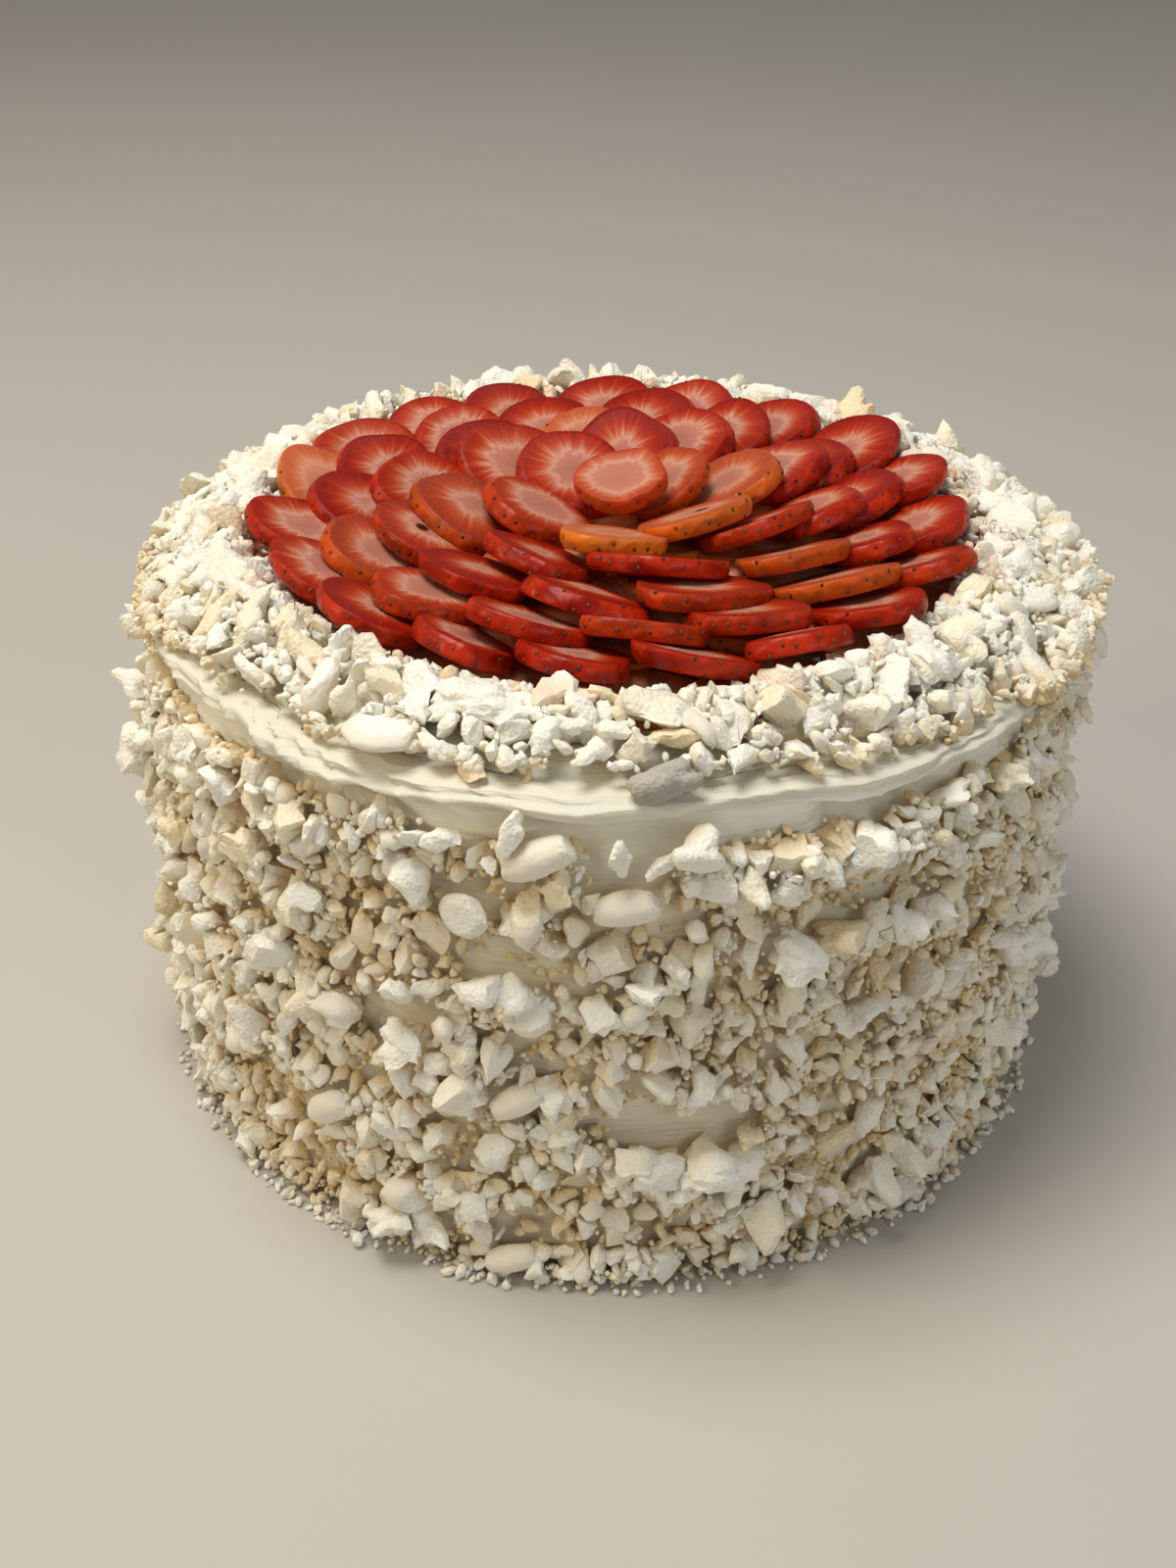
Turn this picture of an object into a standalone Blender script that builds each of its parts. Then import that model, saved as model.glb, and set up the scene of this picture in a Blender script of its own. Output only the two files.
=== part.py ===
"""Chaja cake with a strawberry rosette, as one closed solid for each piece.

A tall round cake is spread with whipped cream and coated with broken meringue. Thin round slices of
strawberry lie tilted on top, in five rings round one in the centre, like the petals of a rose. A flat
under layer of slices lies on the cream below the outer ring.

Metres, +Z up. The origin is the centre of the underside, and -Y is the front.
"""

import math
import random

import bmesh
import bpy
from mathutils import Matrix, Vector, noise

# Cream body
CREAM_TOP = 0.121  # height of the spread cream at the edge
BED_TOP = 0.1236  # the slightly domed middle, under the rosette
SIDE_RADIUS = 0.1018  # the cream side, without its crumbs
FOOT_RADIUS = 0.1000
LIP_RADIUS = 0.1056  # the ridge that the spatula leaves round the top edge
LIP_DEPTH = 0.0085  # how far down the side the lip reaches
SIDE_TOP = CREAM_TOP - 1.1 * LIP_DEPTH
LIP_WAVE = 0.0013  # its slow wander in and out
LIP_RIPPLE = 0.0010  # its quicker waves
BODY_STEPS = 90
SIDE_ROWS = 18
SIDE_FOOT = 0.0035

# Strawberry slices
SLICE_LENGTH = 0.0258  # along the radius of the cake
SLICE_THICKNESS = 0.0036
SLICE_SIDES = 14
CLEARANCE = 0.0005
RING_COUNTS = (19, 15, 11, 7, 5)  # from the outer ring inwards, and one slice in the centre
OUTER_RING = 0.0685  # radius at the middle of its slices
OUTER_HEIGHT = 0.1308  # height at the middle of its slices
RING_STEP = 0.0125
RING_RISE = 0.0004  # the inner rings lie a little higher
RING_TILT = 22.0  # degrees, outer edge up
INNER_TILT = 2.0  # degrees more for each ring inside the third
FIRST_AZIMUTH = -96.0  # degrees
CENTRE_LENGTH = 0.0205
CENTRE_TILT = 18.0  # degrees
CENTRE_RISE = 0.0070

# Under layer
UNDER_COUNT = 17
UNDER_RADIUS = 0.0722
UNDER_LENGTH = 0.0215
UNDER_OVERLAP = 1.16  # width of a slice over its share of the ring
UNDER_ROLL = 3.2  # degrees, as each slice lies on the next
UNDER_SIDES = 10
UNDER_THICKNESS = 0.0030

# Crumb coat
COAT = 0.0024  # mean thickness of the small broken pieces between the larger ones
BUMP = 0.0024  # their relief, to either side of that
BUMP_LEVELS = (-1.0, -0.5, 0.3, 1.0)
BUMP_DRIFT = 0.27  # how far their corners wander along the surface, in steps of the plain body
HEAP = 0.0050  # height of the crumb ring round the rosette
ROSETTE_EDGE = OUTER_RING + 0.5 * SLICE_LENGTH
HEAP_START = ROSETTE_EDGE + 0.0020
HEAP_SLOPE = 0.0040  # the width over which it rises, and falls again
HEAP_END = 0.1000
HEAP_ROWS = 4
SETBACK = 0.0030  # how much sooner it ends where the lip is bare

# Broken meringue, the larger pieces
SIDE_PIECES = 44
SIDE_PIECE = (0.0120, 0.0210)  # smallest and largest length
TOP_PIECES = 46
TOP_PIECE = (0.0115, 0.0220)
CHIP_SHARE = 0.45  # of the pieces are chips of the thin baked shell, the rest lumps of crumb
CHIP_THICKNESS = (0.28, 0.40)  # of the length
LUMP_THICKNESS = (0.50, 0.72)
FLOOR_GAP = 0.0012  # under the lowest pieces

CAKE_SEED = 12
ROSETTE_SEED = 5

# Places where the cream shows through the crumbs: azimuth, height, half width, half height
BARE_PATCHES = (
    (math.radians(-113), 0.062, math.radians(8), 0.011),
    (math.radians(-80), 0.046, math.radians(12), 0.007),
    (math.radians(-88), 0.107, math.radians(6), 0.010),
    (math.radians(35), 0.078, math.radians(7), 0.008),
    (math.radians(115), 0.050, math.radians(9), 0.008),
)
# The stretch of the edge whose lip stays bare, and the height down to which the side under it does too
BARE_LIP = (math.radians(-158), math.radians(-38))
BARE_BAND = 0.1075
BARE_FADE = 0.004


def cleared_scene():
    """Removes what the scene holds."""
    for obj in list(bpy.data.objects):
        bpy.data.objects.remove(obj, do_unlink=True)


def new_collection(name):
    collection = bpy.data.collections.new(name)
    bpy.context.scene.collection.children.link(collection)
    return collection


def principled(name, colour, roughness, subsurface=0.0):
    """A material of one colour."""
    material = bpy.data.materials.new(name)
    material.use_nodes = True
    shader = material.node_tree.nodes["Principled BSDF"]
    shader.inputs["Base Color"].default_value = (*colour, 1.0)
    shader.inputs["Roughness"].default_value = roughness
    shader.inputs["Metallic"].default_value = 0.0
    shader.inputs["Subsurface Weight"].default_value = subsurface
    material.diffuse_color = (*colour, 1.0)
    return material


def mesh_object(name, bm, collection, material):
    """The object that this bmesh makes, and which frees it."""
    mesh = bpy.data.meshes.new(name)
    bm.to_mesh(mesh)
    bm.free()
    mesh.materials.append(material)
    obj = bpy.data.objects.new(name, mesh)
    collection.objects.link(obj)
    return obj


def helper(name, bm, collection, material):
    """An object that is only there to be fused to another."""
    obj = mesh_object(name, bm, collection, material)
    obj.hide_render = True
    obj.display_type = "WIRE"
    return obj


def applied(obj):
    """Turns the object's modifiers into its mesh."""
    graph = bpy.context.evaluated_depsgraph_get()
    graph.update()
    mesh = bpy.data.meshes.new_from_object(obj.evaluated_get(graph))
    obj.modifiers.clear()
    obj.data = mesh


def smooth_step(low, high, value):
    share = min(1.0, max(0.0, (value - low) / (high - low)))
    return share * share * (3.0 - 2.0 * share)


def angle_between(a, b):
    """The smaller angle from b to a, with its sign."""
    return (a - b + math.pi) % (2.0 * math.pi) - math.pi


def bare_lip(azimuth):
    """1 where the cream lip is bare, 0 where crumbs hide it."""
    first, last = BARE_LIP
    middle = 0.5 * (first + last)
    half = 0.5 * (last - first)
    fade = math.radians(6)
    return 1.0 - smooth_step(half - fade, half + fade, abs(angle_between(azimuth, middle)))


def side_cover(azimuth, height):
    """How much of the side is under crumbs there, from 0 to 1."""
    cover = 1.0 - bare_lip(azimuth) * smooth_step(BARE_BAND - BARE_FADE, BARE_BAND + BARE_FADE, height)
    for patch_azimuth, patch_height, half_width, half_height in BARE_PATCHES:
        across = angle_between(azimuth, patch_azimuth) / half_width
        up = (height - patch_height) / half_height
        cover *= smooth_step(0.45, 1.0, math.hypot(across, up))
    return cover


def polar(azimuth, radius, height):
    return Vector((radius * math.cos(azimuth), radius * math.sin(azimuth), height))


def body_profile():
    """Radius and height along half a section, from the middle of the top to the middle of the underside."""
    bed_radius = OUTER_RING - 0.5 * RING_STEP
    points = [(0.0, BED_TOP), (0.9 * bed_radius, BED_TOP), (bed_radius, CREAM_TOP)]
    for row in range(HEAP_ROWS):
        share = row / (HEAP_ROWS - 1)
        points.append((HEAP_START + share * (SIDE_RADIUS - HEAP_START), CREAM_TOP))
    points.append((LIP_RADIUS - 0.0006, CREAM_TOP - 0.0010))
    points.append((LIP_RADIUS, CREAM_TOP - 0.4 * LIP_DEPTH))
    points.append((LIP_RADIUS - 0.0016, CREAM_TOP - 0.7 * LIP_DEPTH))
    for row in range(SIDE_ROWS):
        share = row / (SIDE_ROWS - 1)
        points.append((SIDE_RADIUS, SIDE_TOP + share * (SIDE_FOOT - SIDE_TOP)))
    points.append((FOOT_RADIUS, 0.0))
    points.append((0.0, 0.0))
    return points


def turned_body(collection, material):
    """The plain round body, turned from its profile."""
    bm = bmesh.new()
    corners = [bm.verts.new((radius, 0.0, height)) for radius, height in body_profile()]
    for start, end in zip(corners, corners[1:]):
        bm.edges.new((start, end))
    body = mesh_object("cake", bm, collection, material)
    turn = body.modifiers.new("turn", "SCREW")
    turn.steps = BODY_STEPS
    turn.render_steps = BODY_STEPS
    turn.use_merge_vertices = True
    turn.merge_threshold = 1e-5
    applied(body)
    return body


def shaped_point(point, rng):
    """Where a point of the plain body goes on the spread and crumbed one."""
    bump = BUMP * rng.choice(BUMP_LEVELS)
    turn_drift = rng.uniform(-1.0, 1.0) * BUMP_DRIFT * 2.0 * math.pi / BODY_STEPS
    row_drift = rng.uniform(-1.0, 1.0) * BUMP_DRIFT * (SIDE_TOP - SIDE_FOOT) / (SIDE_ROWS - 1)
    radius = math.hypot(point.x, point.y)
    azimuth = math.atan2(point.y, point.x)
    around = polar(azimuth, 1.0, 0.0)
    wave = LIP_WAVE * noise.noise(around * 2.3)
    ripple = LIP_RIPPLE * noise.noise(around * 6.0 + Vector((0.0, 0.0, 7.0)))
    if point.z == 0.0 or radius < HEAP_START:
        return point.copy()
    if point.z < CREAM_TOP - LIP_DEPTH:
        cover = side_cover(azimuth, point.z)
        if SIDE_FOOT + 0.001 < point.z < SIDE_TOP - 0.001:
            point.z += cover * row_drift
        return polar(azimuth + cover * turn_drift, radius + wave + cover * (COAT + bump), point.z)
    if radius > SIDE_RADIUS + 0.001:
        coat = 0.6 * (1.0 - bare_lip(azimuth)) * (COAT + bump)
        return polar(azimuth, radius + wave + ripple + coat, point.z + wave + ripple)
    heap_end = HEAP_END - SETBACK * bare_lip(azimuth)
    rise = smooth_step(HEAP_START, HEAP_START + HEAP_SLOPE, radius)
    fall = 1.0 - smooth_step(heap_end, heap_end + HEAP_SLOPE, radius)
    return polar(azimuth + rise * fall * turn_drift, radius, point.z + rise * fall * (HEAP + bump))


def broken_disc(length, height, rng):
    """A five-sided slab with its corners knocked about, which is what most broken pieces come down to."""
    bm = bmesh.new()
    bmesh.ops.create_cone(
        bm,
        cap_ends=True,
        segments=5,
        radius1=0.5 * length,
        radius2=0.5 * length * rng.uniform(0.60, 0.95),
        depth=height,
    )
    width = rng.uniform(0.62, 0.92)
    for vert in bm.verts:
        vert.co.x *= rng.uniform(0.78, 1.08)
        vert.co.y *= rng.uniform(0.78, 1.08) * width
        vert.co.z *= rng.uniform(0.75, 1.20)
    return bm


def broken_piece(length, rng):
    """A thin chip of the baked shell, or a lump of crumb."""
    thickness = CHIP_THICKNESS if rng.random() < CHIP_SHARE else LUMP_THICKNESS
    return broken_disc(length, length * rng.uniform(*thickness), rng)


def spread(sizes, draw, rng, tries=14):
    """A place for each size, the largest first: of a few places drawn at random, the emptiest."""
    placed = []
    for size in sorted(sizes, reverse=True):
        best_place, best_gap = None, -1.0
        for _ in range(tries):
            place = draw(size)
            gap = min(
                ((place - other).length / (size + other_size) for other, other_size in placed),
                default=1.0,
            )
            if gap > best_gap:
                best_place, best_gap = place, gap
        placed.append((best_place, size))
    return placed


def lying_on(place, normal, rng):
    """A matrix that lays a piece on a surface, turned at random and a little askew."""
    upright = normal.to_track_quat("Z", "Y").to_matrix().to_4x4()
    spin = Matrix.Rotation(rng.uniform(0.0, 2.0 * math.pi), 4, "Z")
    lean = Matrix.Rotation(rng.gauss(0.0, 0.35), 4, "X")
    return Matrix.Translation(place) @ upright @ spin @ lean


def drawn_sizes(count, smallest_and_largest, rng):
    """Lengths between the two, with more small ones than large."""
    low, high = smallest_and_largest
    return [low + (high - low) * rng.random() ** 1.7 for _ in range(count)]


def side_pieces(rng):
    """Length and matrix of the larger pieces on the side."""

    def draw(size):
        while True:
            azimuth = rng.uniform(-math.pi, math.pi)
            height = rng.uniform(0.5 * size + FLOOR_GAP, CREAM_TOP - 0.7 * LIP_DEPTH)
            if side_cover(azimuth, height) > 0.85:
                return polar(azimuth, SIDE_RADIUS + COAT, height)

    for place, size in spread(drawn_sizes(SIDE_PIECES, SIDE_PIECE, rng), draw, rng):
        outward = Vector((place.x, place.y, 0.0)).normalized()
        yield size, lying_on(place + 0.04 * size * outward, outward, rng)


def top_pieces(rng):
    """Length and matrix of the larger pieces in the ring round the rosette, which lean out over the edge."""

    def draw(size):
        azimuth = rng.uniform(-math.pi, math.pi)
        inner = ROSETTE_EDGE + 0.0015 + 0.52 * size
        outer = max(inner + 0.001, LIP_RADIUS - 0.0005 - 2.5 * SETBACK * bare_lip(azimuth))
        return polar(azimuth, rng.uniform(inner, outer), CREAM_TOP)

    for place, size in spread(drawn_sizes(TOP_PIECES, TOP_PIECE, rng), draw, rng):
        outward = Vector((place.x, place.y, 0.0)).normalized()
        towards_edge = smooth_step(HEAP_END - SETBACK, HEAP_END + HEAP_SLOPE, math.hypot(place.x, place.y))
        normal = (Vector((0.0, 0.0, 1.0)) + 0.4 * towards_edge * outward).normalized()
        heap = Vector((0.0, 0.0, HEAP * (1.0 - towards_edge)))
        yield size, lying_on(place + heap + 0.08 * size * normal, normal, rng)


def outer_skin(obj):
    """Keeps the largest shell of the mesh, which fills sealed hollows and drops loose scraps."""
    bm = bmesh.new()
    bm.from_mesh(obj.data)
    bmesh.ops.remove_doubles(bm, verts=bm.verts, dist=1e-6)
    bmesh.ops.triangulate(bm, faces=bm.faces)
    shells = []
    seen = set()
    for first in bm.faces:
        if first in seen:
            continue
        shell = []
        queue = [first]
        seen.add(first)
        while queue:
            face = queue.pop()
            shell.append(face)
            for edge in face.edges:
                if len(edge.link_faces) != 2:
                    continue
                for neighbour in edge.link_faces:
                    if neighbour not in seen:
                        seen.add(neighbour)
                        queue.append(neighbour)
        shells.append(shell)
    shells.sort(key=len)
    for shell in shells[:-1]:
        bmesh.ops.delete(bm, geom=shell, context="FACES")
    bm.to_mesh(obj.data)
    bm.free()


def joined(obj, pieces):
    """Fuses a collection's objects to this one, and removes them."""
    union = obj.modifiers.new("fuse", "BOOLEAN")
    union.operation = "UNION"
    union.operand_type = "COLLECTION"
    union.collection = pieces
    union.solver = "EXACT"
    bpy.context.view_layer.update()
    applied(obj)
    for piece in list(pieces.objects):
        bpy.data.objects.remove(piece, do_unlink=True)
    outer_skin(obj)


def crumbed_cake(parts, cutters, material):
    """The cream body with its coat of broken meringue, as one solid."""
    cake = turned_body(parts, material)
    rng = random.Random(CAKE_SEED)
    for vert in cake.data.vertices:
        vert.co = shaped_point(vert.co, rng)
    for size, matrix in [*top_pieces(rng), *side_pieces(rng)]:
        piece = helper("broken_piece", broken_piece(size, rng), cutters, material)
        piece.matrix_world = matrix
    joined(cake, cutters)


def berry_slice(length, width, thickness, taper, sides, rng):
    """A round slice: a low cone with an uneven rim. Its length runs along X."""
    bm = bmesh.new()
    bmesh.ops.create_cone(
        bm,
        cap_ends=True,
        segments=sides,
        radius1=0.5,
        radius2=0.5 * (1.0 - taper),
        depth=thickness,
    )
    rim = [rng.uniform(0.95, 1.0) for _ in range(sides)]
    for vert in bm.verts:
        azimuth = math.atan2(vert.co.y, vert.co.x)
        scale = rim[round(azimuth / (2.0 * math.pi) * sides) % sides]
        vert.co.x *= length * scale
        vert.co.y *= width * scale
    return bm


def laid_slice(name, bm, matrix, parts, centre, material):
    """A slice of the rosette, placed on its empty."""
    petal = mesh_object(name, bm, parts, material)
    petal.data.shade_smooth()
    petal.data.set_sharp_from_angle(angle=math.radians(40.0))
    petal.parent = centre
    petal.matrix_local = matrix


def rosette(parts, material):
    """The rings of tilted slices, each lying on the ring outside it, and the one in the centre."""
    rng = random.Random(ROSETTE_SEED)
    centre = bpy.data.objects.new("rosette", None)
    centre.location = (0.0, 0.0, OUTER_HEIGHT)
    parts.objects.link(centre)
    for ring, count in enumerate(RING_COUNTS):
        pitch = 2.0 * math.pi / count
        radius = OUTER_RING - ring * RING_STEP
        width = min(2.0 * radius * math.sin(0.5 * pitch) - CLEARANCE, SLICE_LENGTH)
        tilt = RING_TILT + INNER_TILT * max(0, ring - 2)
        for index in range(count):
            azimuth = math.radians(FIRST_AZIMUTH) + pitch * (index + 0.5 * (ring % 2))
            length = SLICE_LENGTH * rng.uniform(0.93, 1.0)
            taper = rng.uniform(0.02, 0.12)
            lean = math.radians(tilt + rng.uniform(-1.0, 1.0))
            roll = math.radians(rng.uniform(-2.5, 2.5))
            bm = berry_slice(length, width, SLICE_THICKNESS, taper, SLICE_SIDES, rng)
            matrix = (
                Matrix.Rotation(azimuth, 4, "Z")
                @ Matrix.Translation((radius, 0.0, RING_RISE * ring**1.5))
                @ Matrix.Rotation(-lean, 4, "Y")
                @ Matrix.Rotation(roll, 4, "X")
            )
            laid_slice(f"slice_ring{ring + 1}_{index + 1:02d}", bm, matrix, parts, centre, material)
    bm = berry_slice(CENTRE_LENGTH, CENTRE_LENGTH, SLICE_THICKNESS, 0.1, SLICE_SIDES, rng)
    back = Matrix.Rotation(math.radians(80.0), 4, "Z")
    tilted = Matrix.Rotation(math.radians(-CENTRE_TILT), 4, "Y")
    matrix = back @ Matrix.Translation((0.0015, 0.0, CENTRE_RISE)) @ tilted
    laid_slice("slice_centre", bm, matrix, parts, centre, material)


def under_layer(parts, cutters, material):
    """The flat slices on the cream under the outer ring, which overlap and are joined into one ring."""
    rng = random.Random(ROSETTE_SEED + 1)
    pitch = 2.0 * math.pi / UNDER_COUNT
    width = 2.0 * UNDER_RADIUS * math.sin(0.5 * pitch) * UNDER_OVERLAP
    roll = math.radians(UNDER_ROLL)
    height = CREAM_TOP + CLEARANCE + 0.5 * UNDER_THICKNESS + 0.5 * width * math.sin(roll)
    slices = []
    for index in range(UNDER_COUNT):
        bm = berry_slice(UNDER_LENGTH, width, UNDER_THICKNESS, 0.05, UNDER_SIDES, rng)
        matrix = (
            Matrix.Rotation(pitch * index, 4, "Z")
            @ Matrix.Translation((UNDER_RADIUS, 0.0, height))
            @ Matrix.Rotation(roll, 4, "X")
        )
        bmesh.ops.transform(bm, matrix=matrix, verts=bm.verts)
        slices.append(bm)
    for bm in slices[1:]:
        helper("flat_slice", bm, cutters, material)
    first = mesh_object("under_layer", slices[0], parts, material)
    joined(first, cutters)


cleared_scene()
PARTS = new_collection("chaja_cake")
CUTTERS = new_collection("cutters")
MERINGUE = principled("cream_and_meringue", (0.86, 0.80, 0.66), 0.65, subsurface=0.1)
STRAWBERRY = principled("strawberry", (0.55, 0.05, 0.03), 0.30, subsurface=0.1)
crumbed_cake(PARTS, CUTTERS, MERINGUE)
under_layer(PARTS, CUTTERS, STRAWBERRY)
rosette(PARTS, STRAWBERRY)
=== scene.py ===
import math
import random

import bpy
import numpy as np
from mathutils import Matrix, Vector, noise


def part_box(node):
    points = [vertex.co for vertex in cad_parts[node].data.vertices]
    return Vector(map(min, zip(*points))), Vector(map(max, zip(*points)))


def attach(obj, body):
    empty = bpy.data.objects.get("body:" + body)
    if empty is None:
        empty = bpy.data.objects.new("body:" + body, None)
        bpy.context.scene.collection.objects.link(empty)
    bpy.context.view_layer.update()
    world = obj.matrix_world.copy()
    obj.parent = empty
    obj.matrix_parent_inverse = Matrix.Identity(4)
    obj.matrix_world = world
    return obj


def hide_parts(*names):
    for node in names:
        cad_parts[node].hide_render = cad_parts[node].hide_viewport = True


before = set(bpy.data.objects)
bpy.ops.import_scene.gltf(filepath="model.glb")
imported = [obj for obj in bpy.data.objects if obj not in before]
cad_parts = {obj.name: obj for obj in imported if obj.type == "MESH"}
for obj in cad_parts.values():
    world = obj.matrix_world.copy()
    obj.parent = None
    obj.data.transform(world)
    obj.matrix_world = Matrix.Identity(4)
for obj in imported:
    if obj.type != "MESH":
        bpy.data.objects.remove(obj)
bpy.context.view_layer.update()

# Whipped cream. The cake is spread with it all over, and the spatula that levels the top leaves a lip
# folded over the edge, with a hollow under it. It shows on the lip and where the meringue has fallen off.
CREAM_TOP = 0.121
CREAM_SIDE = 0.1018
CREAM_STEPS = 560
BED_RADIUS = 0.0615
BED_TOP = 0.1236
HEAP_BED = 0.1240  # the cream that the broken meringue on top is pressed into
LIP = (
    (0.1014, 0.1070),
    (0.1010, 0.1105),
    (0.1007, 0.1140),
    (0.1014, 0.1162),
    (0.1034, 0.1171),
    (0.1051, 0.1177),
    (0.1058, 0.1187),
    (0.1055, 0.1198),
    (0.1041, 0.1207),
    (0.1010, 0.1213),
    (0.0960, 0.1211),
)
# Where the lip stands out most, with a deep hollow under it: azimuth and half width
HOLLOWS = ((-1.57, 0.16), (-1.05, 0.14), (-2.16, 0.17), (-0.35, 0.16), (1.05, 0.2), (2.6, 0.25))
HOLLOW_DEPTH = 0.0040
BARE_LIP = (math.radians(-158), math.radians(-38))
STROKE = 0.0040  # between the ridges that the spatula leaves
STROKE_DEPTH = 0.0020
FOLD = 0.0012  # how far the lip wanders in and out
RIPPLE = 0.0009  # its quicker waves
SAG = 0.0022  # how far it wanders up and down
SMEAR = 0.0008  # how uneven the side is
CREASE = 0.0006  # the depth of the slanting creases
CREASE_LEFT = 0.0010  # how much deeper they are on the left of the front
PLAIN_RADIUS = 0.080  # within which the berries hide the cream


def smooth_step(low, high, value):
    share = np.clip((value - low) / (high - low), 0.0, 1.0)
    return share * share * (3.0 - 2.0 * share)


def angle_between(a, b):
    """The smaller angle from b to a, with its sign."""
    return (a - b + math.pi) % (2.0 * math.pi) - math.pi


def close_to(middle, azimuth, low, high):
    """1 where the azimuth is within low of the middle one, and 0 beyond high."""
    return 1.0 - float(smooth_step(low, high, abs(angle_between(azimuth, middle))))


def bare_lip(azimuth):
    """1 where the cream lip is bare, 0 where the meringue hides it."""
    middle = 0.5 * (BARE_LIP[0] + BARE_LIP[1])
    half = 0.5 * (BARE_LIP[1] - BARE_LIP[0])
    return close_to(middle, azimuth, half - 0.10, half + 0.10)


def curve_through(points, step):
    """Points a step apart on a smooth curve through a few."""
    points = [np.array(point) for point in points]
    chain = [2 * points[0] - points[1], *points, 2 * points[-1] - points[-2]]
    curve = []
    for before, start, end, after in zip(chain, chain[1:], chain[2:], chain[3:]):
        count = max(1, round(float(np.linalg.norm(end - start)) / step))
        for t in np.arange(count) / count:
            point = 2 * start + (end - before) * t
            point = point + (2 * before - 5 * start + 4 * end - after) * t**2
            point = point + (3 * start - before - 3 * end + after) * t**3
            curve.append(0.5 * point)
    return [tuple(map(float, point)) for point in [*curve, points[-1]]]


def nothing_selected():
    """Leaves edit mode, with no object selected."""
    if bpy.context.object and bpy.context.object.mode == "EDIT":
        bpy.ops.object.mode_set(mode="OBJECT")
    bpy.ops.object.select_all(action="DESELECT")


def turned(name, profile, steps):
    """A closed round body: a circle extruded through the radii and heights of a profile, which starts
    and ends near the axis."""
    nothing_selected()
    radius, height = profile[0]
    place = (0.0, 0.0, height)
    bpy.ops.mesh.primitive_circle_add(vertices=steps, radius=radius, location=place, fill_type="NGON")
    body = bpy.context.object
    body.name = name
    bpy.ops.object.transform_apply(location=True)
    bpy.ops.object.mode_set(mode="EDIT")
    bpy.ops.mesh.select_mode(type="EDGE")
    bpy.ops.mesh.select_all(action="SELECT")
    bpy.ops.mesh.flip_normals()
    for next_radius, next_height in profile[1:]:
        rise = (0.0, 0.0, next_height - height)
        bpy.ops.mesh.extrude_edges_move(TRANSFORM_OT_translate={"value": rise})
        scale = next_radius / radius
        bpy.ops.transform.resize(value=(scale, scale, 1.0))
        radius, height = next_radius, next_height
    bpy.ops.mesh.edge_face_add()
    bpy.ops.mesh.select_all(action="SELECT")
    bpy.ops.mesh.normals_make_consistent(inside=False)
    bpy.ops.object.mode_set(mode="OBJECT")
    bpy.ops.object.shade_smooth()
    return body


def spread_cream(point):
    """Where the spatula leaves a point of the plain body."""
    radius = math.hypot(point.x, point.y)
    azimuth = math.atan2(point.y, point.x)
    around = Vector((math.cos(azimuth), math.sin(azimuth), 0.0))
    if radius < PLAIN_RADIUS or point.z < 0.0002:
        return point
    lip = float(smooth_step(0.1150, 0.1172, point.z) * smooth_step(0.092, 0.099, radius))
    near = [abs(angle_between(azimuth, middle)) / half for middle, half in HOLLOWS]
    deep = max(1.0 - float(smooth_step(0.3, 1.2, distance)) for distance in near)
    under = float(smooth_step(0.1060, 0.1120, point.z) * (1.0 - smooth_step(0.1155, 0.1168, point.z)))
    fold = FOLD * noise.noise(around * 2.3) + RIPPLE * noise.noise(around * 7.0 + Vector((0.0, 0.0, 7.0)))
    fold += FOLD * (deep - 0.5)
    sag = SAG * noise.noise(around * 3.1 + Vector((5.0, 0.0, 0.0))) - 0.0008 * deep
    # Strokes: each ridge rises slowly and drops off fast
    along = point.z - 0.9 * radius + 0.006 * noise.noise(around * 1.3 + Vector((0.0, 9.0, 0.0)))
    share = (along / STROKE) % 1.0
    depth = STROKE_DEPTH * (0.7 + noise.noise(around * 3.0 + Vector((0.0, 3.0, point.z * 60.0))))
    stroke = depth * (min(share * 1.25, 5.0 * (1.0 - share)) - 0.5)
    slant = azimuth * 0.10 + 1.4 * (point.z - 0.5 * radius)
    crease = noise.noise(Vector((slant * 130.0, point.z * 50.0 - azimuth, 4.0)))
    crease_depth = CREASE + CREASE_LEFT * float(smooth_step(-1.75, -2.05, azimuth))
    crease = (0.35 - min(1.0, abs(crease) * 4.0)) * crease_depth
    smear = SMEAR * noise.noise(Vector((around.x * 5.0, around.y * 5.0, point.z * 45.0))) + crease
    outward = fold * (0.35 + 0.65 * lip) + smear + stroke * (0.4 + 0.6 * lip)
    outward += under * (0.0016 * (1.0 - deep) - HOLLOW_DEPTH * deep)
    new_radius = radius + (outward if radius > 0.098 else 0.3 * outward)
    lift = lip * sag * float(1.0 - smooth_step(0.1190, 0.1212, point.z)) + (1.0 - lip) * 0.3 * stroke
    return Vector((around.x * new_radius, around.y * new_radius, point.z + lift))


side_rows = 42
side = [(CREAM_SIDE, 0.004 + (0.1040 - 0.004) * row / side_rows) for row in range(side_rows + 1)]
bed_edge = [(0.0930, HEAP_BED - 0.0006), (0.0900, HEAP_BED), (0.0800, HEAP_BED)]
bed_edge += [(0.0740, CREAM_TOP), (0.0650, CREAM_TOP)]
profile = [(0.02, 0.0), (0.0985, 0.0), (0.1008, 0.0015), *side, *curve_through(LIP, 0.0004)]
profile += [*bed_edge, (BED_RADIUS, CREAM_TOP + 0.0004), (0.0550, BED_TOP), (0.020, BED_TOP)]
cream = turned("cream", profile, CREAM_STEPS)
strokes = []
for vert in cream.data.vertices:
    radius = max(0.001, math.hypot(vert.co.x, vert.co.y))
    strokes += [0.1 * vert.co.x / radius, 0.1 * vert.co.y / radius, vert.co.z - radius]
    vert.co = spread_cream(vert.co)
cream.data.attributes.new("stroke", "FLOAT_VECTOR", "POINT").data.foreach_set("vector", strokes)


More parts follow.
